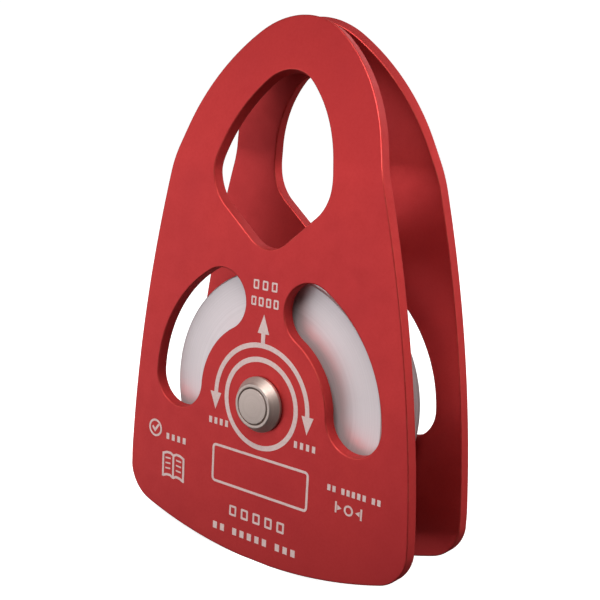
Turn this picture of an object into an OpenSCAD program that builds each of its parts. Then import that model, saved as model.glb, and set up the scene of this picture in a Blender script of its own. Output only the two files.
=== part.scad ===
// Rope pulley: two bent side plates that swing on a stepped axle, with a
// ball-bearing sheave between them.
// Millimetres. The origin is the centre of the sheave, on the axle's centre line.
// +Y runs along the axle to the rear plate, +X to the right, +Z to the carabiner eye.

/* [Side plates] */
// Thickness of each side plate
plate_t = 3.8; // [3.4:0.1:4.2]
// Clear gap between the two flat parts of the plates
plate_gap = 22.9; // [22.9:0.1:25]
// Distance from the axle down to the lowest edge
plate_drop = 47.2; // [46.2:0.5:50]
// Height above the axle of the bend line on the outer face
bend_z = 66.5; // [66.5:0.5:68]
// Inward lean of the plate above the bend, in degrees
bend_angle = 15.6; // [10:0.1:15.6]
// Radius of the bend, on the outer face
bend_r = 28; // [12:1:34]

/* [Windows] */
// Radius of the middle line of the two curved windows
window_r = 32.1; // [31.5:0.1:33]
// Width of each window
window_w = 18.2; // [14:0.2:18.6]
// Angle of the lower end centre above the horizontal, in degrees
window_a0 = 2.5; // [0:0.5:10]
// Angle of the upper end centre above the horizontal, in degrees
window_a1 = 60; // [50:0.5:60]

/* [Sheave] */
// Outer diameter of the sheave
sheave_d = 75; // [72:0.5:78]
// Width of the sheave
sheave_w = 19.2; // [19:0.1:19.8]
// Largest rope that the groove takes
rope_d = 16; // [12:1:16]
// Depth of the rope groove below the rim
groove_depth = 12.5; // [10:0.5:13]

/* [Axle] */
// Diameter of the axle pin
pin_d = 10; // [9:0.1:10.5]
// Diameter of the boss that each plate turns on
boss_d = 13; // [12:0.1:13.4]
// Diameter of the head where it meets the plate
head_d = 16; // [15:0.1:17]
// Diameter of the flat end of the head
head_face_d = 12.5; // [12:0.1:13]
// How far each head stands out from the plate
head_h = 3.6; // [3:0.1:4.5]

/* [Bearings] */
// Balls in each bearing
ball_count = 11; // [8:1:12]
// Diameter of a bearing ball
ball_d = 3.5; // [3.2:0.1:3.5]

/* [Hidden] */

inner_y = plate_gap / 2;              // inner face of a plate
outer_y = inner_y + plate_t;          // outer face of a plate
axial_play = 0.15;                    // each side of each plate
plate_bore_r = boss_d / 2 + 0.08;     // running fit on the boss
washer_y = inner_y - axial_play;      // thrust face of the washers
flange_y = outer_y + axial_play;      // inner face of the heads
head_y = outer_y + head_h;            // flat end of the heads
sheave_r = sheave_d / 2;
half_w = sheave_w / 2;
brg_bore_r = 7.5;                     // 15 x 28 x 7 mm bearings, side by side
brg_r = 14;
brg_w = 7;
ball_pitch_r = 10.75;
groove_r = rope_d / 2 + 0.3;
ring_y = 8.25;                        // outer face of the retaining ring
eps = 1;

anodised = [0.70, 0.16, 0.17];
alloy = [0.80, 0.78, 0.79];
stainless = [0.68, 0.65, 0.62];
bearing_steel = [0.62, 0.63, 0.65];
seal_black = [0.08, 0.08, 0.09];

// ---------- outlines ----------

// Follows a chain of tangent arcs and straights from point p with heading h.
// A step is [radius, sweep in degrees, pieces] or [0, length].
function walk(p, h, s, i = 0) =
    i >= len(s) ? [] :
    s[i][0] == 0 ?
        let (q = p + s[i][1] * [cos(h), sin(h)])
        concat([q], walk(q, h, s, i + 1)) :
        let (r = s[i][0], a = s[i][1], n = s[i][2], c = p + r * [-sin(h), cos(h)])
        concat([for (k = [1:n]) c + r * [sin(h + a * k / n), -cos(h + a * k / n)]],
               walk(c + r * [sin(h + a), -cos(h + a)], h + a, s, i + 1));

function turn(s, i = 0) = i >= len(s) ? 0 : (s[i][0] == 0 ? 0 : s[i][1]) + turn(s, i + 1);

// Right half of a symmetric outline, bottom to top; the last arc closes it on the axis.
function half_outline(z0, s, n_top) =
    let (w = walk([0, z0], 0, s), e = w[len(w) - 1], h = turn(s), rc = e[0] / sin(h),
         t = walk(e, h, [[rc, 180 - h, n_top]]))
    concat([[0, z0]], w, [for (k = [0:n_top - 2]) t[k]], [[0, t[n_top - 1][1]]]);

// The sides run straight for 1 mm at the bend line, where the two leaves meet;
// the upper leaf's are set in by the small ledge d, so that no two cuts share a wall.
function with_bend(h, zb, d) =
    let (x = round(100 * lookup(zb, [for (p = h) [p[1], p[0]]])) / 100 - d)
    concat([for (p = h) if (p[1] < zb - 0.7) p],
           [[x, zb - 0.5], [x, zb + 0.5]],
           [for (p = h) if (p[1] > zb + 0.7) p]);

function whole(h) = concat(h, [for (i = [len(h) - 2:-1:1]) [-h[i][0], h[i][1]]]);

// Plate: shallow belly, round lower corners, long flanks, shoulders, crest.
plate_steps = [[143.5, 17.7, 8], [11.6, 74.6, 12], [413, 14.9, 14], [55.5, 35.5, 12]];
plate_half = half_outline(-plate_drop, plate_steps, 8);
ledge = 0.05;
plate_line = whole(with_bend(plate_half, bend_z, 0));
plate_line_top = whole(with_bend(plate_half, bend_z, ledge));

// Carabiner eye: rounded vee at the bottom, full corners, arched top.
eye_steps = [[9.8, 39.5, 6], [0, 12.8], [13.2, 60, 12], [42.5, 37.5, 10]];
eye_half = half_outline(44, eye_steps, 8);
eye_line = whole(with_bend(eye_half, bend_z, 0));
eye_line_top = whole(with_bend(eye_half, bend_z, ledge));

// Moves what is drawn on the flat plate onto the leaning leaf.
module lean() {
    translate([0, 0, bend_z]) rotate([-bend_angle, 0, 0]) translate([0, 0, -bend_z]) children();
}

// The space above (s = 1) or below (s = -1) the plane that halves the bend.
module bend_side(s) {
    translate([0, 0, bend_z]) rotate([-bend_angle / 2, 0, 0])
        translate([-100, -60, s > 0 ? 0 : -200]) cube([200, 120, 200]);
}

// A drawing in the plate's plane, made deeper than the plate on both sides.
module through() {
    translate([0, plate_t + 5, 0]) rotate([90, 0, 0]) linear_extrude(plate_t + 10) children();
}

// Everything outside an outline between two heights.
module outside(line, z0, z1) {
    difference() {
        translate([-61, -4, z0]) cube([122, plate_t + 8, z1 - z0]);
        through() polygon(line);
    }
}

// Point at depth d below the outer face, turned a degrees round the bend's centre.
function bend_point(d, a) = let (z0 = bend_z - bend_r * tan(bend_angle / 2))
    [bend_r - (bend_r - d) * cos(a), z0 + (bend_r - d) * sin(a)];

// Strip with the plate's side profile: upright, round the bend, then leaning to +Y.
module blank() {
    l = 48;
    n = 8;
    up = l * [sin(bend_angle), cos(bend_angle)];
    translate([-60, 0, 0]) rotate([90, 0, 90]) linear_extrude(120)
        polygon(concat([[0, -60], [plate_t, -60]],
                       [for (k = [0:n]) bend_point(plate_t, bend_angle * k / n)],
                       [bend_point(plate_t, bend_angle) + up, bend_point(0, bend_angle) + up],
                       [for (k = [n:-1:0]) bend_point(0, bend_angle * k / n)]));
}

// A curved window with round ends, concentric with the axle.
module window_cut() {
    a = (window_a0 + window_a1) / 2;
    translate([0, plate_t + eps, 0]) rotate([90, 0, 0]) {
        difference() {
            intersection() {
                cylinder(h = plate_t + 2 * eps, r = window_r + window_w / 2, $fn = 120);
                linear_extrude(plate_t + 2 * eps)
                    polygon([[0, 0], 90 * [cos(window_a0), sin(window_a0)],
                             90 * [cos(a), sin(a)], 90 * [cos(window_a1), sin(window_a1)]]);
            }
            translate([0, 0, -eps])
                cylinder(h = plate_t + 4 * eps, r = window_r - window_w / 2, $fn = 120);
        }
        for (e = [window_a0, window_a1])
            translate([window_r * cos(e), window_r * sin(e), 0])
                cylinder(h = plate_t + 2 * eps, r = window_w / 2, $fn = 64);
    }
}

// One side plate with its outer face on the plane y = 0, leaning to +Y above the bend.
// The cuts on the two leaves overlap a little at the bend, where both outlines run straight.
module bent_plate() {
    difference() {
        blank();
        outside(plate_line, -61, bend_z + 0.3);
        intersection() {
            lean() outside(plate_line_top, bend_z - 5, bend_z + 65);
            bend_side(1);
        }
        intersection() {
            through() polygon(eye_line);
            bend_side(-1);
        }
        lean() intersection() {
            through() polygon(eye_line_top);
            translate([-40, -6, bend_z - 0.3]) cube([80, plate_t + 12, 60]);
        }
        window_cut();
        mirror([1, 0, 0]) window_cut();
        translate([0, plate_t + eps, 0]) rotate([90, 0, 0])
            cylinder(h = plate_t + 2 * eps, r = plate_bore_r, $fn = 96);
    }
}

// A turned part: points are [radius, y] and the axis is the axle's.
module turned(pts, fn = 96) {
    rotate([-90, 0, 0]) rotate_extrude($fn = fn) polygon(pts);
}

// ---------- nodes ----------

module front_side_plate() color(anodised) translate([0, -outer_y, 0]) bent_plate();

module rear_side_plate() color(anodised)
    mirror([0, 1, 0]) translate([0, -outer_y, 0]) bent_plate();

// Grooved wheel, bored for two bearings, with a shoulder at the rear and a ring groove in front.
module sheave() color(alloy) {
    rim = half_w - groove_r - 0.1;            // land left at the rim
    gc = sheave_r - groove_depth + groove_r;  // radius of the groove's centre
    c = 0.4;
    rotate([-90, 0, 0]) rotate_extrude($fn = 144) difference() {
        polygon([[brg_r, -half_w], [sheave_r - c, -half_w], [sheave_r, -half_w + c],
                 [sheave_r, half_w - c], [sheave_r - c, half_w], [brg_r - 1.4, half_w],
                 [brg_r - 1.4, brg_w], [brg_r, brg_w]]);
        translate([gc, 0]) circle(r = groove_r, $fn = 64);
        polygon([[gc, -groove_r], [sheave_r - 0.3, -half_w + rim], [sheave_r + 2, -half_w + rim - 0.9],
                 [sheave_r + 2, half_w - rim + 0.9], [sheave_r - 0.3, half_w - rim], [gc, groove_r]]);
        translate([brg_r - 1, -ring_y - 0.05]) square([1.9, 1.25]);
    }
}

// Internal retaining ring, open at the bottom, with an ear and hole each side of the gap.
module bearing_retaining_ring() color(bearing_steel) {
    difference() {
        union() {
            difference() {
                turned([[brg_r - 1.6, -ring_y], [brg_r + 0.75, -ring_y],
                        [brg_r + 0.75, -ring_y + 1.1], [brg_r - 1.6, -ring_y + 1.1]]);
                translate([-2.6, -ring_y - eps, -brg_r - 3]) cube([5.2, 1.1 + 2 * eps, 8]);
            }
            for (s = [-1, 1])
                translate([s * 4.1, -ring_y + 1.1, -brg_r + 2.3]) rotate([90, 0, 0])
                    cylinder(h = 1.1, r = 1.5, $fn = 32);
        }
        for (s = [-1, 1])
            translate([s * 4.1, -ring_y + 1.1 + eps, -brg_r + 2.3]) rotate([90, 0, 0])
                cylinder(h = 1.1 + 2 * eps, r = 0.7, $fn = 24);
    }
}

// Plain pin through both collars and the sleeve, flush with the collars' faces.
module axle_pin() color(stainless)
    turned([[0, -head_y + 0.05], [pin_d / 2 - 0.15, -head_y + 0.05], [pin_d / 2, -head_y + 0.2],
            [pin_d / 2, head_y - 0.2], [pin_d / 2 - 0.15, head_y - 0.05], [0, head_y - 0.05]]);

// Spacer tube that carries the inner races and washers between the two bosses.
module axle_sleeve() color(stainless)
    turned([[pin_d / 2, -washer_y], [brg_bore_r - 0.3, -washer_y], [brg_bore_r, -washer_y + 0.3],
            [brg_bore_r, washer_y - 0.3], [brg_bore_r - 0.3, washer_y], [pin_d / 2, washer_y]]);

// Head and boss of the axle, pressed on the pin; the mouth is chamfered round the pin's end.
// s is -1 at the front and 1 at the rear.
module axle_collar(s) color(stainless)
    turned([[boss_d / 2, s * washer_y], [boss_d / 2, s * flange_y], [head_d / 2 - 0.2, s * flange_y],
            [head_d / 2, s * (flange_y + 0.2)], [head_d / 2, s * (flange_y + 0.9)],
            [head_face_d / 2 + 0.15, s * (head_y - 0.1)], [head_face_d / 2, s * head_y],
            [pin_d / 2 + 0.35, s * head_y], [pin_d / 2, s * (head_y - 0.5)], [pin_d / 2, s * washer_y]]);

module front_axle_collar() axle_collar(-1);
module rear_axle_collar() axle_collar(1);

// Flanged washer between the inner race and the plate.
module thrust_washer(s) color(seal_black)
    turned([[brg_bore_r, s * brg_w], [brg_bore_r + 1.6, s * brg_w], [brg_bore_r + 1.6, s * (half_w + 0.35)],
            [11.6, s * (half_w + 0.35)], [12, s * (half_w + 0.75)], [12, s * (washer_y - 0.3)],
            [11.7, s * washer_y], [brg_bore_r, s * washer_y]]);

module front_thrust_washer() thrust_washer(-1);
module rear_thrust_washer() thrust_washer(1);

// Bearing parts, centred on y = 0 and moved to their places below.
module outer_race() color(bearing_steel)
    rotate([-90, 0, 0]) rotate_extrude($fn = 96) difference() {
        polygon([[11.7, -2.65], [12, -2.65], [12, -brg_w / 2], [brg_r - 0.3, -brg_w / 2],
                 [brg_r, -brg_w / 2 + 0.3], [brg_r, brg_w / 2 - 0.3], [brg_r - 0.3, brg_w / 2],
                 [12, brg_w / 2], [12, 2.65], [11.7, 2.65]]);
        translate([ball_pitch_r, 0]) circle(r = ball_d / 2 + 0.06, $fn = 48);
    }

module inner_race() color(bearing_steel)
    rotate([-90, 0, 0]) rotate_extrude($fn = 96) difference() {
        polygon([[brg_bore_r, -brg_w / 2 + 0.3], [brg_bore_r + 0.3, -brg_w / 2], [9.7, -brg_w / 2],
                 [9.7, brg_w / 2], [brg_bore_r + 0.3, brg_w / 2], [brg_bore_r, brg_w / 2 - 0.3]]);
        translate([ball_pitch_r, 0]) circle(r = ball_d / 2 + 0.06, $fn = 48);
    }

module balls() color(bearing_steel)
    for (k = [0:ball_count - 1]) rotate([0, 360 * k / ball_count, 0])
        translate([ball_pitch_r, 0, 0]) sphere(r = ball_d / 2, $fn = 32);

// Ring with one round pocket for each ball.
module cage() color("tan") difference() {
    turned([[10.2, -2.4], [11.3, -2.4], [11.3, 2.4], [10.2, 2.4]]);
    for (k = [0:ball_count - 1]) rotate([0, 360 * k / ball_count, 0])
        translate([9, 0, 0]) rotate([0, 90, 0]) cylinder(h = 4, r = ball_d / 2 + 0.05, $fn = 32);
}

// The pair of ring seals of one bearing.
module seals() color(seal_black)
    for (s = [-1, 1]) turned([[9.85, s * 2.7], [12, s * 2.7], [12, s * 3.3], [9.85, s * 3.3]]);

module front_bearing_outer_race() translate([0, -brg_w / 2, 0]) outer_race();
module front_bearing_inner_race() translate([0, -brg_w / 2, 0]) inner_race();
module front_bearing_balls() translate([0, -brg_w / 2, 0]) balls();
module front_bearing_cage() translate([0, -brg_w / 2, 0]) cage();
module front_bearing_seals() translate([0, -brg_w / 2, 0]) seals();
module rear_bearing_outer_race() translate([0, brg_w / 2, 0]) outer_race();
module rear_bearing_inner_race() translate([0, brg_w / 2, 0]) inner_race();
module rear_bearing_balls() translate([0, brg_w / 2, 0]) balls();
module rear_bearing_cage() translate([0, brg_w / 2, 0]) cage();
module rear_bearing_seals() translate([0, brg_w / 2, 0]) seals();

rear_side_plate();
front_side_plate();
sheave();
bearing_retaining_ring();
axle_pin();
axle_sleeve();
front_axle_collar();
rear_axle_collar();
front_thrust_washer();
rear_thrust_washer();
front_bearing_outer_race();
front_bearing_inner_race();
front_bearing_balls();
front_bearing_cage();
front_bearing_seals();
rear_bearing_outer_race();
rear_bearing_inner_race();
rear_bearing_balls();
rear_bearing_cage();
rear_bearing_seals();
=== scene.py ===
import bpy, bmesh, math
import numpy as np
from mathutils import Vector, Matrix, geometry


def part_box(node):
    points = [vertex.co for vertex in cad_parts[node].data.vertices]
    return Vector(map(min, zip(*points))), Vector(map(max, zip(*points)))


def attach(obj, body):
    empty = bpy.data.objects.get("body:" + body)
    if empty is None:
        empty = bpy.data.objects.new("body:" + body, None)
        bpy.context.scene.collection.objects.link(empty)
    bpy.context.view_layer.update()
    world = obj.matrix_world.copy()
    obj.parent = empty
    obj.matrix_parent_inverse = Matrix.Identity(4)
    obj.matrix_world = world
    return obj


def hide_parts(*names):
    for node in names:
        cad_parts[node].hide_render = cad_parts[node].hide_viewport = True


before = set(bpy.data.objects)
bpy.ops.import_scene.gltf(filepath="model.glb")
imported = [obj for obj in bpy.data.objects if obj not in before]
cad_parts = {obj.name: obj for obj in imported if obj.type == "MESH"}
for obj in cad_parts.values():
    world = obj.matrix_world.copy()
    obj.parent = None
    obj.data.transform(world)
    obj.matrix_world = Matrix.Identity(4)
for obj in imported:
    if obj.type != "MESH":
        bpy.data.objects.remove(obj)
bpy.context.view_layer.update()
scene = bpy.context.scene
MM = 0.001

# ------------------------------------------------------------------ dimensions (mm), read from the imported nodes
lo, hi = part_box("front_side_plate")
OUTER = -lo.y * 1000                       # outer face of a plate, flat part
ZLOW, XMAX = lo.z * 1000, hi.x * 1000
lo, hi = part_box("sheave")
SH_R, SH_W = hi.x * 1000, hi.y * 1000      # sheave radius and half width
lo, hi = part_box("front_axle_collar")
HEAD_Y = -lo.y * 1000                      # flat end of the axle heads
HEAD_R = hi.x * 1000
T = 3.8                                    # plate thickness
INNER = OUTER - T
BEND_Z, BEND = 66.5, math.radians(15.6)
BORE_R = 6.58
WIN_R, WIN_W, WIN_A0, WIN_A1 = 32.1, 18.2, 2.5, 60.0
COAT = 0.10                                # the finished edges stand this far outside the drawn ones


# ------------------------------------------------------------------ outlines of the plates
def walk(p, h, steps, pitch):
    """Chain of tangent arcs and straights: [radius, sweep in degrees] or [0, length]."""
    out = []
    for s in steps:
        if s[0] == 0:
            n = max(1, round(s[1] / pitch))
            q = (p[0] + s[1] * math.cos(h), p[1] + s[1] * math.sin(h))
            out += [(p[0] + (q[0] - p[0]) * k / n, p[1] + (q[1] - p[1]) * k / n) for k in range(1, n + 1)]
            p = q
            continue
        r, a = s[0], math.radians(s[1])
        c = (p[0] - r * math.sin(h), p[1] + r * math.cos(h))
        n = max(3, round(r * a / pitch))
        for k in range(1, n + 1):
            t = h + a * k / n
            out.append((c[0] + r * math.sin(t), c[1] - r * math.cos(t)))
        h += a
        p = out[-1]
    return out, h


def closed_outline(z0, steps, pitch):
    """Symmetric outline; the last arc closes the half outline on the axis."""
    w, h = walk((0, z0), 0, steps, pitch)
    rc = w[-1][0] / math.sin(h)
    t, _ = walk(w[-1], h, [[rc, 180 - math.degrees(h)]], pitch)
    half = [(0, z0)] + w + t[:-1] + [(0, t[-1][1])]
    return half + [(-x, z) for x, z in reversed(half[1:-1])]


PLATE = closed_outline(ZLOW, [[143.5, 17.7], [11.6, 74.6], [413, 14.9], [55.5, 35.5]], 0.9)
PLATE = [(max(-XMAX, min(XMAX, x)), z) for x, z in PLATE]
EYE = closed_outline(44, [[9.8, 39.5], [0, 12.8], [13.2, 60], [42.5, 37.5]], 0.7)


def window(side):
    """Curved slot with round ends, counter-clockwise."""
    ro, ri, r = WIN_R + WIN_W / 2, WIN_R - WIN_W / 2, WIN_W / 2
    a0, a1 = math.radians(WIN_A0), math.radians(WIN_A1)
    pts = []
    n = 56
    for k in range(n + 1):
        a = a0 + (a1 - a0) * k / n
        pts.append((ro * math.cos(a), ro * math.sin(a)))
    c = (WIN_R * math.cos(a1), WIN_R * math.sin(a1))
    for k in range(1, 36):
        a = a1 + math.pi * k / 36
        pts.append((c[0] + r * math.cos(a), c[1] + r * math.sin(a)))
    m = 32
    for k in range(m + 1):
        a = a1 + (a0 - a1) * k / m
        pts.append((ri * math.cos(a), ri * math.sin(a)))
    c = (WIN_R * math.cos(a0), WIN_R * math.sin(a0))
    for k in range(1, 36):
        a = a0 + math.pi + math.pi * k / 36
        pts.append((c[0] + r * math.cos(a), c[1] + r * math.sin(a)))
    return pts if side > 0 else [(-x, z) for x, z in reversed(pts)]


def ring(r, n=96):
    return [(r * math.cos(2 * math.pi * k / n), r * math.sin(2 * math.pi * k / n)) for k in range(n)]


def inset(loop, d):
    """Moves a counter-clockwise loop inwards by d (outwards for negative d)."""
    p = np.array(loop)
    e = np.roll(p, -1, 0) - p
    e /= np.linalg.norm(e, axis=1)[:, None]
    n = np.stack([-e[:, 1], e[:, 0]], 1)
    m = n + np.roll(n, 1, 0)
    m /= np.linalg.norm(m, axis=1)[:, None]
    c = np.maximum((m * n).sum(1), 0.5)
    return p + m * (d / c)[:, None]


# ------------------------------------------------------------------ bending the flat plate
R_OUT = 28.0                                # bend radius on the outer face
HALF = R_OUT * math.tan(BEND / 2)           # from the bend line to each end of the bend
S0 = BEND_Z - HALF                          # the bend starts here on the outer face


def bend(x, s, d):
    """Flat plate (x, height s on the outer face, depth d from it) to the bent front plate, in mm."""
    yc = -OUTER + R_OUT
    if s <= S0:
        return (x, -OUTER + d, s)
    a = min((s - S0) / (2 * HALF), 1.0) * BEND
    rest = max(s - S0 - 2 * HALF, 0.0)
    y = yc - (R_OUT - d) * math.cos(a)
    z = S0 + (R_OUT - d) * math.sin(a)
    return (x, y + rest * math.sin(BEND), z + rest * math.cos(BEND))


def inside(loop, pts):
    """Even-odd test of many points."""
    p = np.array(loop)
    q = np.roll(p, -1, 0)
    x, z = pts[:, 0][:, None], pts[:, 1][:, None]
    cond = (p[:, 1] > z) != (q[:, 1] > z)
    dz = np.where(q[:, 1] == p[:, 1], 1e-12, q[:, 1] - p[:, 1])
    xi = (q[:, 0] - p[:, 0]) * (z - p[:, 1]) / dz + p[:, 0]
    return (np.sum(cond & (x < xi), axis=1) % 2) == 1


def plate_mesh(name, mirror):
    """One side plate: rounded edges all round, and an even mesh on its faces so that it bends smoothly."""
    rnd = 0.40
    top = max(z for x, z in PLATE) + 0.08
    outer = [(max(-XMAX, min(XMAX, x)), max(ZLOW, min(top, z))) for x, z in inset(PLATE, -COAT)]
    holes = [inset(EYE, COAT), inset(window(1), COAT), inset(window(-1), COAT), ring(BORE_R)]
    loops = [(outer, 1)] + [(h, -1) for h in holes]
    # profile across the edge: (inset, depth)
    prof = [(rnd * (1 - math.sin(a)), rnd * (1 - math.cos(a))) for a in np.linspace(0, math.pi / 2, 6)]
    full = prof + [(0, T / 2)] + [(i, T - d) for i, d in reversed(prof)]
    verts, faces = [], []
    caps = []
    for loop, sgn in loops:
        n = len(loop)
        base = len(verts)
        for i, d in full:
            for x, z in inset(loop, i * sgn):
                verts.append((x, z, d))
        for k in range(len(full) - 1):
            for j in range(n):
                a, b = base + k * n + j, base + k * n + (j + 1) % n
                c, e = base + (k + 1) * n + (j + 1) % n, base + (k + 1) * n + j
                # outer loop counter-clockwise seen from the front; front is depth 0
                faces.append((a, e, c, b) if sgn > 0 else (a, b, c, e))
        caps.append((base, base + (len(full) - 1) * n, n))
    # caps: a constrained triangulation with inner grid points
    flat = [inset(l, rnd * s) for l, s in loops]
    step = 2.5
    gx, gz = np.meshgrid(np.arange(-52, 52.01, step), np.arange(-48, 110, step))
    gz = gz + np.where((np.round((gx + 52) / step) % 2) == 1, step / 2, 0)
    extra = [(x, z) for z in np.linspace(S0, S0 + 2 * HALF, 11) for x in np.arange(-51.2, 51.3, 1.6)]
    g = np.stack([gx.ravel(), gz.ravel()], 1)
    g = g[(g[:, 1] < S0 - 1) | (g[:, 1] > S0 + 2 * HALF + 1)]
    g = np.vstack([g, np.array(extra)])
    keep = inside(flat[0], g)
    for l in flat[1:]:
        keep &= ~inside(l, g)
    allb = np.vstack(flat)
    d2 = ((g[:, None, :] - allb[None, :, :]) ** 2).sum(2).min(1)
    keep &= d2 > 0.5 ** 2
    g = g[keep]
    pts = [Vector((float(x), float(z))) for x, z in np.vstack([allb, g])]
    edges, k0 = [], 0
    for l in flat:
        n = len(l)
        edges += [(k0 + j, k0 + (j + 1) % n) for j in range(n)]
        k0 += n
    vo, eo, fo, ov, oe, of_ = geometry.delaunay_2d_cdt(pts, edges, [], 0, 1e-6)
    vo = np.array([(v.x, v.y) for v in vo])
    tri = np.array([f for f in fo])
    cen = vo[tri].mean(1)
    ok = inside(flat[0], cen)
    for l in flat[1:]:
        ok &= ~inside(l, cen)
    tri = tri[ok]
    # map the output vertices to the loops' own, front and back
    src = {}
    for i, o in enumerate(ov):
        src[i] = o[0] if o else None
    nb = len(allb)
    front_of, back_of = {}, {}
    k0 = 0
    for base_f, base_b, n in caps:
        for j in range(n):
            front_of[k0 + j] = base_f + j
            back_of[k0 + j] = base_b + j
        k0 += n
    fi, bi = {}, {}
    for i in range(len(vo)):
        s = src[i]
        if s is not None and s < nb:
            fi[i], bi[i] = front_of[s], back_of[s]
        else:
            fi[i] = len(verts)
            verts.append((vo[i][0], vo[i][1], 0.0))
            bi[i] = len(verts)
            verts.append((vo[i][0], vo[i][1], T))
    for t in tri:
        a, b, c = (int(q) for q in t)
        area = np.cross(vo[b] - vo[a], vo[c] - vo[a])
        if area < 0:
            b, c = c, b
        faces.append((fi[a], fi[b], fi[c]))
        faces.append((bi[a], bi[c], bi[b]))
    co = []
    for x, z, d in verts:
        X, Y, Z = bend(x, z, d)
        co.append((X * MM, (-Y if mirror else Y) * MM, Z * MM))
    if mirror:
        faces = [tuple(reversed(f)) for f in faces]
    me = bpy.data.meshes.new(name)
    me.from_pydata(co, [], faces)
    me.validate()
    bm = bmesh.new()
    bm.from_mesh(me)
    bmesh.ops.recalc_face_normals(bm, faces=bm.faces)
    bm.to_mesh(me)
    bm.free()
    for p in me.polygons:
        p.use_smooth = True
    ob = bpy.data.objects.new(name, me)
    scene.collection.objects.link(ob)
    wn = ob.modifiers.new("normals", "WEIGHTED_NORMAL")
    wn.mode = "FACE_AREA"
    wn.weight = 100
    wn.keep_sharp = False
    return ob


# ------------------------------------------------------------------ turned parts
def lathe(name, prof, n=192, smooth_deg=35, closed=True):
    """Turns a closed profile of (radius, y) in mm about the axle. Points on the axis become one vertex."""
    verts, faces, rows = [], [], []
    for r, y in prof:
        if r < 1e-6:
            rows.append([len(verts)])
            verts.append((0, y * MM, 0))
        else:
            rows.append(list(range(len(verts), len(verts) + n)))
            for k in range(n):
                a = 2 * math.pi * k / n
                verts.append((r * math.cos(a) * MM, y * MM, r * math.sin(a) * MM))
    m = len(prof)
    for i in range(m if closed else m - 1):
        A, B = rows[i], rows[(i + 1) % m]
        if len(A) == 1 and len(B) == 1:
            continue
        for k in range(n):
            a0, a1 = A[k % len(A)], A[(k + 1) % len(A)]
            b0, b1 = B[k % len(B)], B[(k + 1) % len(B)]
            f = [a0, a1, b1, b0]
            g = []
            for q in f:
                if q not in g:
                    g.append(q)
            if len(g) > 2:
                faces.append(tuple(g))
    me = bpy.data.meshes.new(name)
    me.from_pydata(verts, [], faces)
    me.validate()
    bm = bmesh.new()
    bm.from_mesh(me)
    bmesh.ops.recalc_face_normals(bm, faces=bm.faces)
    bm.to_mesh(me)
    bm.free()
    for p in me.polygons:
        p.use_smooth = True
    ob = bpy.data.objects.new(name, me)
    scene.collection.objects.link(ob)
    wn = ob.modifiers.new("normals", "WEIGHTED_NORMAL")
    wn.mode = "FACE_AREA"
    wn.weight = 100
    wn.keep_sharp = False
    return ob


def fillet(p0, p1, p2, r, n=4):
    """Round the corner p1 of a profile with radius r."""
    p0, p1, p2 = map(np.array, (p0, p1, p2))
    u = (p0 - p1) / np.linalg.norm(p0 - p1)
    v = (p2 - p1) / np.linalg.norm(p2 - p1)
    ang = math.acos(max(-1, min(1, float(u @ v))))
    if ang > math.pi - 1e-3:
        return [tuple(p1)]
    t = min(r / math.tan(ang / 2), 0.49 * np.linalg.norm(p0 - p1), 0.49 * np.linalg.norm(p2 - p1))
    rr = t * math.tan(ang / 2)
    w = u + v
    w /= np.linalg.norm(w)
    c = p1 + w * (rr / math.sin(ang / 2))
    a, b = p1 + u * t, p1 + v * t
    va, vb = a - c, b - c
    tot = math.pi - ang
    cr = va[0] * vb[1] - va[1] * vb[0]
    sg = 1 if cr > 0 else -1
    out = []
    for k in range(n + 1):
        q = sg * tot * k / n
        out.append(tuple(c + np.array([va[0] * math.cos(q) - va[1] * math.sin(q), va[0] * math.sin(q) + va[1] * math.cos(q)])))
    return out


def rounded(prof, radii, n=4):
    """Closed profile with each corner rounded; radii is one number or one for each corner."""
    m = len(prof)
    out = []
    for i, p in enumerate(prof):
        r = radii[i] if isinstance(radii, (list, tuple)) else radii
        if r <= 0 or p[0] < 1e-6:
            out.append(tuple(p))
        else:
            out += fillet(prof[i - 1], p, prof[(i + 1) % m], r, n)
    return out


# ------------------------------------------------------------------ materials
def mat(name):
    m = bpy.data.materials.new(name)
    m.use_nodes = True
    nt = m.node_tree
    nt.nodes.clear()
    out = nt.nodes.new("ShaderNodeOutputMaterial")
    b = nt.nodes.new("ShaderNodeBsdfPrincipled")
    nt.links.new(b.outputs[0], out.inputs[0])
    return m, nt, b


def node(nt, kind, **kw):
    n = nt.nodes.new(kind)
    for k, v in kw.items():
        if hasattr(n, k):
            setattr(n, k, v)
        else:
            n.inputs[k.replace("_", " ")].default_value = v
    return n


def noise(nt, vec, scale, detail=3.0, rough=0.5):
    n = nt.nodes.new("ShaderNodeTexNoise")
    n.inputs["Scale"].default_value = scale
    n.inputs["Detail"].default_value = detail
    n.inputs["Roughness"].default_value = rough
    if vec is not None:
        nt.links.new(vec, n.inputs["Vector"])
    return n.outputs[0]


def ramp(nt, fac, stops):
    r = nt.nodes.new("ShaderNodeValToRGB")
    e = r.color_ramp.elements
    e[0].position, e[0].color = stops[0][0], (*stops[0][1], 1)
    e[1].position, e[1].color = stops[-1][0], (*stops[-1][1], 1)
    for p, c in stops[1:-1]:
        q = e.new(p)
        q.color = (*c, 1)
    nt.links.new(fac, r.inputs[0])
    return r.outputs[0]


def mapr(nt, fac, a, b, c, d):
    r = nt.nodes.new("ShaderNodeMapRange")
    r.inputs[1].default_value, r.inputs[2].default_value = a, b
    r.inputs[3].default_value, r.inputs[4].default_value = c, d
    nt.links.new(fac, r.inputs[0])
    return r.outputs[0]


def maths(nt, op, a, b=None):
    n = nt.nodes.new("ShaderNodeMath")
    n.operation = op
    for i, v in enumerate((a, b)):
        if v is None:
            continue
        if isinstance(v, (int, float)):
            n.inputs[i].default_value = v
        else:
            nt.links.new(v, n.inputs[i])
    return n.outputs[0]


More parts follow.
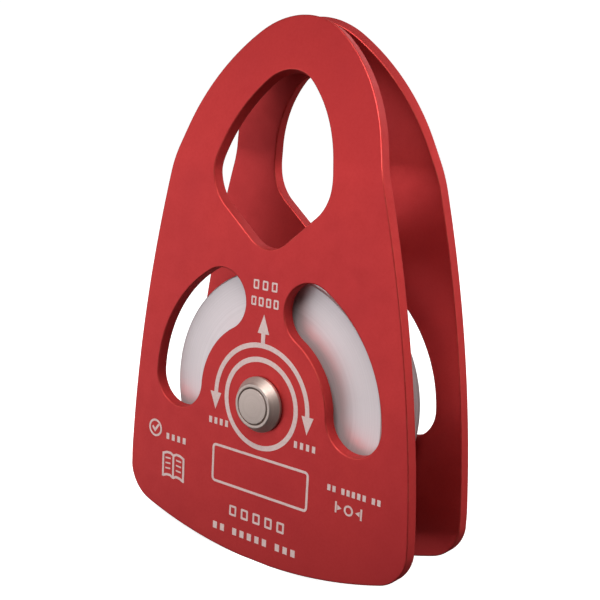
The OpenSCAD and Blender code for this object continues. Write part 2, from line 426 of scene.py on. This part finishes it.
def mixc(nt, fac, a, b, mode="MIX"):
    n = nt.nodes.new("ShaderNodeMix")
    n.data_type = "RGBA"
    n.blend_type = mode
    for i, v in ((0, fac), (6, a), (7, b)):
        if isinstance(v, (int, float)):
            n.inputs[i].default_value = v
        elif isinstance(v, tuple):
            n.inputs[i].default_value = (*v, 1)
        else:
            nt.links.new(v, n.inputs[i])
    return n.outputs[2]


def bump(nt, height, strength, dist, prev=None):
    n = nt.nodes.new("ShaderNodeBump")
    n.inputs["Strength"].default_value = strength
    n.inputs["Distance"].default_value = dist
    nt.links.new(height, n.inputs["Height"])
    if prev is not None:
        nt.links.new(prev, n.inputs["Normal"])
    return n.outputs[0]


def coords(nt):
    return nt.nodes.new("ShaderNodeTexCoord").outputs["Object"]


def scaled(nt, vec, s):
    n = nt.nodes.new("ShaderNodeMapping")
    n.inputs["Scale"].default_value = s
    nt.links.new(vec, n.inputs[0])
    return n.outputs[0]


def anodised_red():
    """Dyed, satin anodised sheet: fine blasted texture, faint clouding, and a painted highlight that makes the rounded
    edges paler.
    """
    m, nt, b = mat("anodised_red")
    v = coords(nt)
    cloud = noise(nt, v, 38, 3)
    fine = noise(nt, v, 4200, 2)
    speck = noise(nt, v, 1300, 3, 0.6)
    base = ramp(nt, cloud, [(0.30, (0.470, 0.031, 0.0335)), (0.70, (0.520, 0.036, 0.0355))])
    base = mixc(nt, mapr(nt, speck, 0.40, 0.70, 0.0, 0.35), base, (0.440, 0.022, 0.024))
    # painted highlight: the rounded edges (the edge attribute) are mixed, in noisy patches, towards a paler orange-red
    # that stands in for the light they catch
    at = nt.nodes.new("ShaderNodeAttribute")
    at.attribute_name = "edge"
    painted_edge_highlight = maths(nt, "MULTIPLY", at.outputs["Fac"], mapr(nt, noise(nt, v, 380, 4, 0.65), 0.42, 0.66, 0.10, 0.42))
    base = mixc(nt, painted_edge_highlight, base, (0.56, 0.09, 0.07))
    nt.links.new(base, b.inputs["Base Color"])
    b.inputs["Metallic"].default_value = 0.75
    wall = nt.nodes.new("ShaderNodeAttribute")
    wall.attribute_name = "wall"
    rough = mapr(nt, noise(nt, v, 240, 4), 0.3, 0.7, 0.37, 0.45)
    nt.links.new(maths(nt, "ADD", rough, maths(nt, "MULTIPLY", wall.outputs["Fac"], 0.22)), b.inputs["Roughness"])
    b.inputs["IOR"].default_value = 1.45
    n1 = bump(nt, fine, 0.10, 0.00004)
    n2 = bump(nt, speck, 0.05, 0.00006, n1)
    nt.links.new(n2, b.inputs["Normal"])
    return m


def turned_metal(name, dark, light, rough, pitch=0.22, depth=0.10, metallic=1.0):
    """Lathe-turned metal: concentric tool marks about the axle, on faces and on curved walls."""
    m, nt, b = mat(name)
    v = coords(nt)
    s = nt.nodes.new("ShaderNodeSeparateXYZ")
    nt.links.new(v, s.inputs[0])
    r = maths(nt, "SQRT", maths(nt, "ADD", maths(nt, "MULTIPLY", s.outputs[0], s.outputs[0]),
                                maths(nt, "MULTIPLY", s.outputs[2], s.outputs[2])))
    c = nt.nodes.new("ShaderNodeCombineXYZ")
    nt.links.new(maths(nt, "MULTIPLY", r, 1000.0 / pitch), c.inputs[0])
    nt.links.new(maths(nt, "MULTIPLY", s.outputs[1], 1000.0 / pitch), c.inputs[1])
    marks = noise(nt, c.outputs[0], 1.0, 2.0)
    broad = noise(nt, c.outputs[0], 0.12, 2.0)
    cloud = noise(nt, v, 60, 3)
    col = ramp(nt, maths(nt, "ADD", maths(nt, "MULTIPLY", marks, 0.5), maths(nt, "MULTIPLY", broad, 0.5)),
               [(0.30, dark), (0.70, light)])
    col = mixc(nt, mapr(nt, cloud, 0.35, 0.7, 0.0, 0.25), col, tuple(x * 0.9 for x in dark))
    nt.links.new(col, b.inputs["Base Color"])
    b.inputs["Metallic"].default_value = metallic
    nt.links.new(mapr(nt, broad, 0.3, 0.7, rough - 0.04, rough + 0.06), b.inputs["Roughness"])
    nt.links.new(bump(nt, marks, depth, 0.00003), b.inputs["Normal"])
    return m


def marking():
    """Pale laser-etched marking, slightly mottled."""
    m, nt, b = mat("etched_marking")
    v = coords(nt)
    col = ramp(nt, noise(nt, v, 1400, 3), [(0.30, (0.67, 0.49, 0.475)), (0.70, (0.75, 0.575, 0.555))])
    nt.links.new(col, b.inputs["Base Color"])
    b.inputs["Metallic"].default_value = 0.15
    b.inputs["Roughness"].default_value = 0.55
    nt.links.new(bump(nt, noise(nt, v, 4000, 2), 0.12, 0.00004), b.inputs["Normal"])
    return m


def moulded(name, a, c, rough):
    m, nt, b = mat(name)
    v = coords(nt)
    nt.links.new(ramp(nt, noise(nt, v, 300, 3), [(0.3, a), (0.7, c)]), b.inputs["Base Color"])
    nt.links.new(mapr(nt, noise(nt, v, 900, 3), 0.3, 0.7, rough - 0.05, rough + 0.08), b.inputs["Roughness"])
    nt.links.new(bump(nt, noise(nt, v, 2500, 2), 0.15, 0.00005), b.inputs["Normal"])
    return m


RED = anodised_red()
ALLOY = turned_metal("turned_alloy", (0.655, 0.592, 0.612), (0.785, 0.725, 0.750), 0.42, metallic=0.50)
STEEL = turned_metal("turned_stainless", (0.475, 0.385, 0.345), (0.625, 0.520, 0.480), 0.47, 0.16, 0.05, metallic=0.80)
RACE = turned_metal("ground_bearing_steel", (0.42, 0.43, 0.45), (0.55, 0.56, 0.58), 0.20, 0.10, 0.04)
MARK = marking()
ACETAL = moulded("black_acetal", (0.014, 0.014, 0.015), (0.030, 0.030, 0.032), 0.40)
NYLON = moulded("natural_nylon", (0.50, 0.38, 0.24), (0.64, 0.52, 0.36), 0.45)
RUBBER = moulded("seal_rubber", (0.010, 0.010, 0.010), (0.022, 0.022, 0.022), 0.62)


def paint(ob, m):
    ob.data.materials.clear()
    ob.data.materials.append(m)


# ------------------------------------------------------------------ the two side plates
def add_edge_attribute(ob):
    """edge is 1 on the rounded edges, wall is 1 on the cut walls; both are 0 on the faces."""
    me = ob.data
    me.attributes.new("edge", "FLOAT", "POINT")
    me.attributes.new("wall", "FLOAT", "POINT")
    # points made first belong to the edge profiles: 13 rings for each loop; the inner rings of the rounding count
    n_loops = [len(PLATE), len(EYE), len(window(1)), len(window(-1)), 96]
    vals = np.zeros(len(me.vertices))
    cut = np.zeros(len(me.vertices))
    k0 = 0
    for n in n_loops:
        for ringi in range(13):
            on = 1.0 if ringi in (1, 2, 3, 4, 8, 9, 10, 11) else 0.0
            vals[k0:k0 + n] = on
            cut[k0:k0 + n] = 1.0 if 3 <= ringi <= 9 else 0.0
            k0 += n
    me.attributes["edge"].data.foreach_set("value", vals.astype(np.float32))
    me.attributes["wall"].data.foreach_set("value", cut.astype(np.float32))


front = plate_mesh("front_plate_skin", False)
rear = plate_mesh("rear_plate_skin", True)
for ob, body, n in ((front, "front_plate", "front_side_plate"), (rear, "rear_plate", "rear_side_plate")):
    add_edge_attribute(ob)
    paint(ob, RED)
    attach(ob, body)
    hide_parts(n)

# ------------------------------------------------------------------ sheave
gr, gc = 8.3, SH_R - 12.5 + 8.3
groove = []
for a in np.linspace(-90, 90, 49):
    groove.append((gc - gr * math.cos(math.radians(a)), gr * math.sin(math.radians(a))))
w = SH_W
# front face with its thin turned line, groove, rear face, shoulder, bore and the slot for the retaining ring
prof = [(14.0, -w), (17.6, -w), (17.9, -w + 0.2), (18.2, -w), (SH_R, -w), (SH_R, -8.52)] + groove
prof += [(SH_R, 8.52), (SH_R, w), (12.6, w), (12.6, 7.0), (14.0, 7.0)]
prof += [(14.0, -7.05), (14.9, -7.05), (14.9, -8.3), (14.0, -8.3)]
prof = rounded(prof, [0.2, 0, 0, 0, 0.5, 0.35] + [0] * len(groove) + [0.35, 0.5, 0.25, 0, 0, 0, 0, 0, 0], 5)
sheave = lathe("sheave_skin", prof, 256)
paint(sheave, ALLOY)
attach(sheave, "sheave")
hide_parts("sheave")

# ------------------------------------------------------------------ axle collars and pin
F = OUTER + 0.15
for s, nm in ((-1, "front"), (1, "rear")):
    pts = [(6.5, s * (INNER - 0.15)), (6.5, s * F), (HEAD_R, s * F), (HEAD_R, s * (F + 0.85)),
           (6.25, s * (HEAD_Y - 0.1)), (5.45, s * (HEAD_Y - 0.1)), (5.43, s * (HEAD_Y - 0.9)), (5.0, s * (HEAD_Y - 0.9)), (5.0, s * (INNER - 0.15))]
    c = lathe(nm + "_collar_skin", rounded(pts, [0.1, 0.1, 0.25, 0.5, 0.35, 0.06, 0.0, 0.0, 0.0], 5), 160)
    paint(c, STEEL)
    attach(c, "axle")
    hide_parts(nm + "_axle_collar")
e = HEAD_Y
pin = lathe("pin_skin", [(0, -e)] + rounded([(0, -e), (5.0, -e), (5.0, e), (0, e)], [0, 0.14, 0.14, 0], 5)[1:-1] + [(0, e)], 160, closed=False)
paint(pin, STEEL)
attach(pin, "axle")
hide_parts("axle_pin")

# ------------------------------------------------------------------ carried-over nodes get their own finish
for n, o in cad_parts.items():
    if n.endswith("side_plate") or n in ("sheave", "axle_pin", "front_axle_collar", "rear_axle_collar"):
        continue
    m = (ACETAL if "washer" in n else NYLON if "cage" in n else RUBBER if "seals" in n else STEEL if "sleeve" in n else RACE)
    for k in range(len(o.material_slots)):
        o.material_slots[k].material = m
    if not o.material_slots:
        o.data.materials.append(m)


# ------------------------------------------------------------------ markings on the front plate
class Marks:
    """Flat closed shapes a few hundredths of a millimetre proud of the front plate."""

    def __init__(self):
        self.v, self.f, self.n = [], [], 0

    def shape(self, loops):
        """loops: the outer one first, then holes; lists of (x, z) in mm."""
        self.n += 1                        # each shape a few microns off the last, so that none share a face
        y0, y1 = -OUTER - 0.030 - 0.004 * (self.n % 13), -OUTER + 0.05
        flat = [[Vector((x, z, 0)) for x, z in l] for l in loops]
        tris = geometry.tessellate_polygon(flat)
        base = len(self.v)
        n = sum(len(l) for l in loops)
        for y in (y0, y1):
            for l in loops:
                self.v += [(x * MM, y * MM, z * MM) for x, z in l]
        for a, b, c in tris:
            self.f.append((base + a, base + b, base + c))
            self.f.append((base + n + a, base + n + c, base + n + b))
        k = base
        for l in loops:
            m = len(l)
            for j in range(m):
                a, b = k + j, k + (j + 1) % m
                self.f.append((a, b, b + n, a + n))
            k += m

    def band(self, pts, w):
        """A line of even width along open points."""
        p = np.array(pts, float)
        t = np.gradient(p, axis=0)
        t /= np.linalg.norm(t, axis=1)[:, None]
        nrm = np.stack([-t[:, 1], t[:, 0]], 1) * w / 2
        self.shape([[tuple(q) for q in p + nrm] + [tuple(q) for q in (p - nrm)[::-1]]])

    def frame(self, x0, x1, z0, z1, w, r=0.8):
        def rr(x0, x1, z0, z1, r):
            out = []
            for cx, cz, a0 in ((x1 - r, z0 + r, -90), (x1 - r, z1 - r, 0), (x0 + r, z1 - r, 90), (x0 + r, z0 + r, 180)):
                out += [(cx + r * math.cos(math.radians(a0 + k * 15)), cz + r * math.sin(math.radians(a0 + k * 15))) for k in range(7)]
            return out
        self.shape([rr(x0, x1, z0, z1, r), rr(x0 + w, x1 - w, z0 + w, z1 - w, max(0.15, r - w))])

    def disc(self, x, z, r):
        self.shape([[(x + r * math.cos(2 * math.pi * k / 28), z + r * math.sin(2 * math.pi * k / 28)) for k in range(28)]])

    def make(self, name):
        me = bpy.data.meshes.new(name)
        me.from_pydata(self.v, [], self.f)
        me.validate()
        bm = bmesh.new()
        bm.from_mesh(me)
        bmesh.ops.remove_doubles(bm, verts=bm.verts, dist=1e-8)
        bmesh.ops.recalc_face_normals(bm, faces=bm.faces)
        bm.to_mesh(me)
        bm.free()
        ob = bpy.data.objects.new(name, me)
        scene.collection.objects.link(ob)
        paint(ob, MARK)
        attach(ob, "front_plate")
        return ob


def arc(r, a0, a1, n):
    return [(r * math.cos(math.radians(a0 + (a1 - a0) * k / n)), r * math.sin(math.radians(a0 + (a1 - a0) * k / n))) for k in range(n + 1)]


load = Marks()
load.shape([ring(13.54, 128), ring(12.06, 128)])
load.shape([arc(17.58, 0, 180, 96) + arc(16.14, 180, 0, 96)])
for s in (-1, 1):
    load.shape([[(s * 14.9, 0.0), (s * 19.05, 0.0), (s * 16.95, -5.1)]])
load.shape([[(-0.72, 17.56), (0.72, 17.56), (0.72, 20.3), (2.1, 20.3), (0, 25.8), (-2.1, 20.3), (-0.72, 20.3)]])
load.make("load_direction_marks")

book = Marks()            # plain open book: read the instructions
xm, zb, zt = -33.4, -30.3, -23.2
for s in (-1, 1):
    p = [(xm, zt - 0.5), (xm + s * 1.3, zt + 0.1), (xm + s * 2.8, zt), (xm + s * 4.3, zt - 0.6)]
    q = [(x, z - (zt - zb)) for x, z in p]
    book.band(p, 0.75)
    book.band(q, 0.75)
    book.band([(xm + s * 4.3, zt - 0.3), (xm + s * 4.3, zb - 0.9)], 0.75)
    for k in (0.32, 0.55, 0.78):
        zz = zb + (zt - zb) * k - 0.25
        book.band([(xm + s * 1.2, zz + 0.15), (xm + s * 3.3, zz)], 0.45)
book.band([(xm, zt - 0.2), (xm, zb - 0.8)], 0.75)
book.make("read_instructions_mark")

tick = Marks()            # inspected: a tick in a circle
tick.shape([ring(2.75, 56), ring(2.1, 56)])
tick.v = [(x - 41.4 * MM, y, z - 16.6 * MM) for x, y, z in tick.v]
tick.shape([[(-42.9, -16.5), (-42.4, -16.0), (-41.6, -16.85), (-40.25, -15.1), (-39.7, -15.5), (-41.55, -17.95)]])
tick.make("inspection_mark")

panel = Marks()           # blank panel for the owner's own mark
panel.frame(-17.5, 18.5, -27.2, -15.4, 0.75, 1.4)
panel.make("owner_panel_mark")


def blocks(m, x0, z0, n, w, h, pitch, gaps=()):
    """Plain blocks in a row where the lettering was; a gap is left before each number in gaps."""
    x = x0
    for k in range(n):
        if k in gaps:
            x += pitch * 0.7
        m.shape([[(x, z0), (x + w, z0), (x + w, z0 + h), (x, z0 + h)]])
        x += pitch


def open_blocks(m, x0, z0, n, w, h, pitch, line, gaps=()):
    x = x0
    for k in range(n):
        if k in gaps:
            x += pitch * 0.7
        m.frame(x, x + w, z0, z0 + h, line, 0.35)
        x += pitch


rows = Marks()            # rows of blank blocks in place of ratings, sizes and codes
open_blocks(rows, -4.3, 32.6, 3, 2.0, 2.7, 3.3, 0.5)
open_blocks(rows, -4.9, 27.9, 4, 1.8, 2.6, 2.7, 0.5)
for s in (-1, 1):
    blocks(rows, s * 17.0 - 4.2 + (2.0 if s < 0 else 0), -9.6, 4, 1.1, 1.9, 2.1)
blocks(rows, -36.6, -19.0, 4, 1.2, 1.9, 2.3)
blocks(rows, 25.0, -18.6, 9, 1.05, 1.7, 1.75, (2, 7))
open_blocks(rows, -10.0, -35.9, 5, 2.7, 3.2, 4.5, 0.62)
blocks(rows, -16.2, -41.6, 10, 1.55, 2.1, 2.85, (2, 7))
rows.make("blank_code_marks")

rope = Marks()            # rope section between two cheeks: the largest rope
rope.shape([ring(1.5, 36), ring(0.95, 36)])
rope.v = [(x + 32.4 * MM, y, z - 22.6 * MM) for x, y, z in rope.v]
for s in (-1, 1):
    rope.band([(32.4 + s * 4.2, -24.2), (32.4 + s * 4.2, -21.0)], 0.55)
    rope.shape([[(32.4 + s * 3.7, -22.6 + 0.75 * s), (32.4 + s * 3.7, -22.6 - 0.75 * s), (32.4 + s * 2.3, -22.6)]])
rope.make("rope_size_mark")

# ------------------------------------------------------------------ floor, light, camera
def floor():
    """Round pale floor that sweeps up on all sides like a studio cove."""
    zf = ZLOW * MM
    prof = [(0.0, zf), (0.25, zf), (0.6, zf), (1.2, zf)]
    for k in range(1, 17):
        a = math.pi / 2 * k / 16
        prof.append((1.2 + 0.8 * math.sin(a), zf + 0.8 * (1 - math.cos(a))))
    prof.append((2.0, zf + 2.4))
    n = 96
    v, f = [(0, 0, zf)], []
    for r, z in prof[1:]:
        v += [(r * math.cos(2 * math.pi * j / n), r * math.sin(2 * math.pi * j / n), z) for j in range(n)]
    for j in range(n):
        f.append((0, 1 + j, 1 + (j + 1) % n))
    for k in range(len(prof) - 2):
        for j in range(n):
            a, b = 1 + k * n + j, 1 + k * n + (j + 1) % n
            f.append((a, a + n, b + n, b))
    me = bpy.data.meshes.new("pale_floor")
    me.from_pydata(v, [], f)
    for p in me.polygons:
        p.use_smooth = True
    ob = bpy.data.objects.new("pale_floor", me)
    scene.collection.objects.link(ob)
    m, nt, b = mat("pale_floor")
    nt.links.new(ramp(nt, noise(nt, coords(nt), 6, 2), [(0.3, (0.80, 0.80, 0.80)), (0.7, (0.82, 0.82, 0.82))]), b.inputs["Base Color"])
    b.inputs["Roughness"].default_value = 0.9
    b.inputs["Emission Color"].default_value = (1, 1, 1, 1)
    b.inputs["Emission Strength"].default_value = 0.90
    paint(ob, m)
    ob.visible_diffuse = False
    ob.visible_glossy = False
    ob.visible_shadow = False
    return ob


floor()
world = bpy.data.worlds.new("studio")
scene.world = world
world.use_nodes = True
bg = world.node_tree.nodes["Background"]
bg.inputs[0].default_value = (1, 1, 1, 1)
bg.inputs[1].default_value = 0.06


def softbox(name, az, el, dist, sx, sy, power, col=(1, 1, 1), target=(0, 0, 0.03)):
    """Area light seen from the part at azimuth az (0 in front, positive to the right) and elevation el."""
    l = bpy.data.lights.new(name, "AREA")
    l.shape = "RECTANGLE"
    l.size, l.size_y, l.energy, l.color = sx, sy, power, col
    o = bpy.data.objects.new(name, l)
    scene.collection.objects.link(o)
    a, e = math.radians(az), math.radians(el)
    d = Vector((math.sin(a) * math.cos(e), -math.cos(a) * math.cos(e), math.sin(e)))
    o.location = Vector(target) + d * dist
    o.rotation_euler = (-d).to_track_quat("-Z", "Y").to_euler()
    o.visible_camera = False
    return o


softbox("key_softbox", 20, 50, 0.62, 0.40, 0.40, 4.5, (1.0, 0.975, 0.94), (0, 0, 0.06))
softbox("left_panel", -40, 2, 0.90, 1.1, 1.00, 4.0, (0.98, 0.985, 1.0), (0, 0, 0.03))
softbox("right_panel", 116, 14, 0.80, 0.45, 0.60, 3.5, (1.0, 0.97, 0.93), (0, 0, 0.03))
softbox("back_panel", 180, 28, 1.00, 0.9, 0.60, 3.0, (0.98, 0.985, 1.0), (0, 0, 0.03))

scene.view_settings.view_transform = "Standard"
scene.view_settings.look = "None"

cam = bpy.data.cameras.new("camera")
cam_ob = bpy.data.objects.new("camera", cam)
scene.collection.objects.link(cam_ob)
scene.camera = cam_ob
AZ, EL, ROLL = (math.radians(v) for v in (38.04, 10.99, 2.91))
DIST, FPX, OX, OZ = 301.7, 1118.4, 12.3, 31.9
fwd = Vector((-math.sin(AZ) * math.cos(EL), math.cos(AZ) * math.cos(EL), -math.sin(EL)))
rgt = Vector((math.cos(AZ), math.sin(AZ), 0))
up = rgt.cross(fwd)
r2 = rgt * math.cos(ROLL) + up * math.sin(ROLL)
u2 = -rgt * math.sin(ROLL) + up * math.cos(ROLL)
pos = (Vector((OX, -OUTER, OZ)) - fwd * DIST) * MM
cam_ob.matrix_world = Matrix(((r2.x, u2.x, -fwd.x, pos.x), (r2.y, u2.y, -fwd.y, pos.y), (r2.z, u2.z, -fwd.z, pos.z), (0, 0, 0, 1)))
cam.sensor_fit = "HORIZONTAL"
cam.sensor_width = 36
cam.lens = FPX * 36 / 600
cam.clip_start, cam.clip_end = 0.01, 20
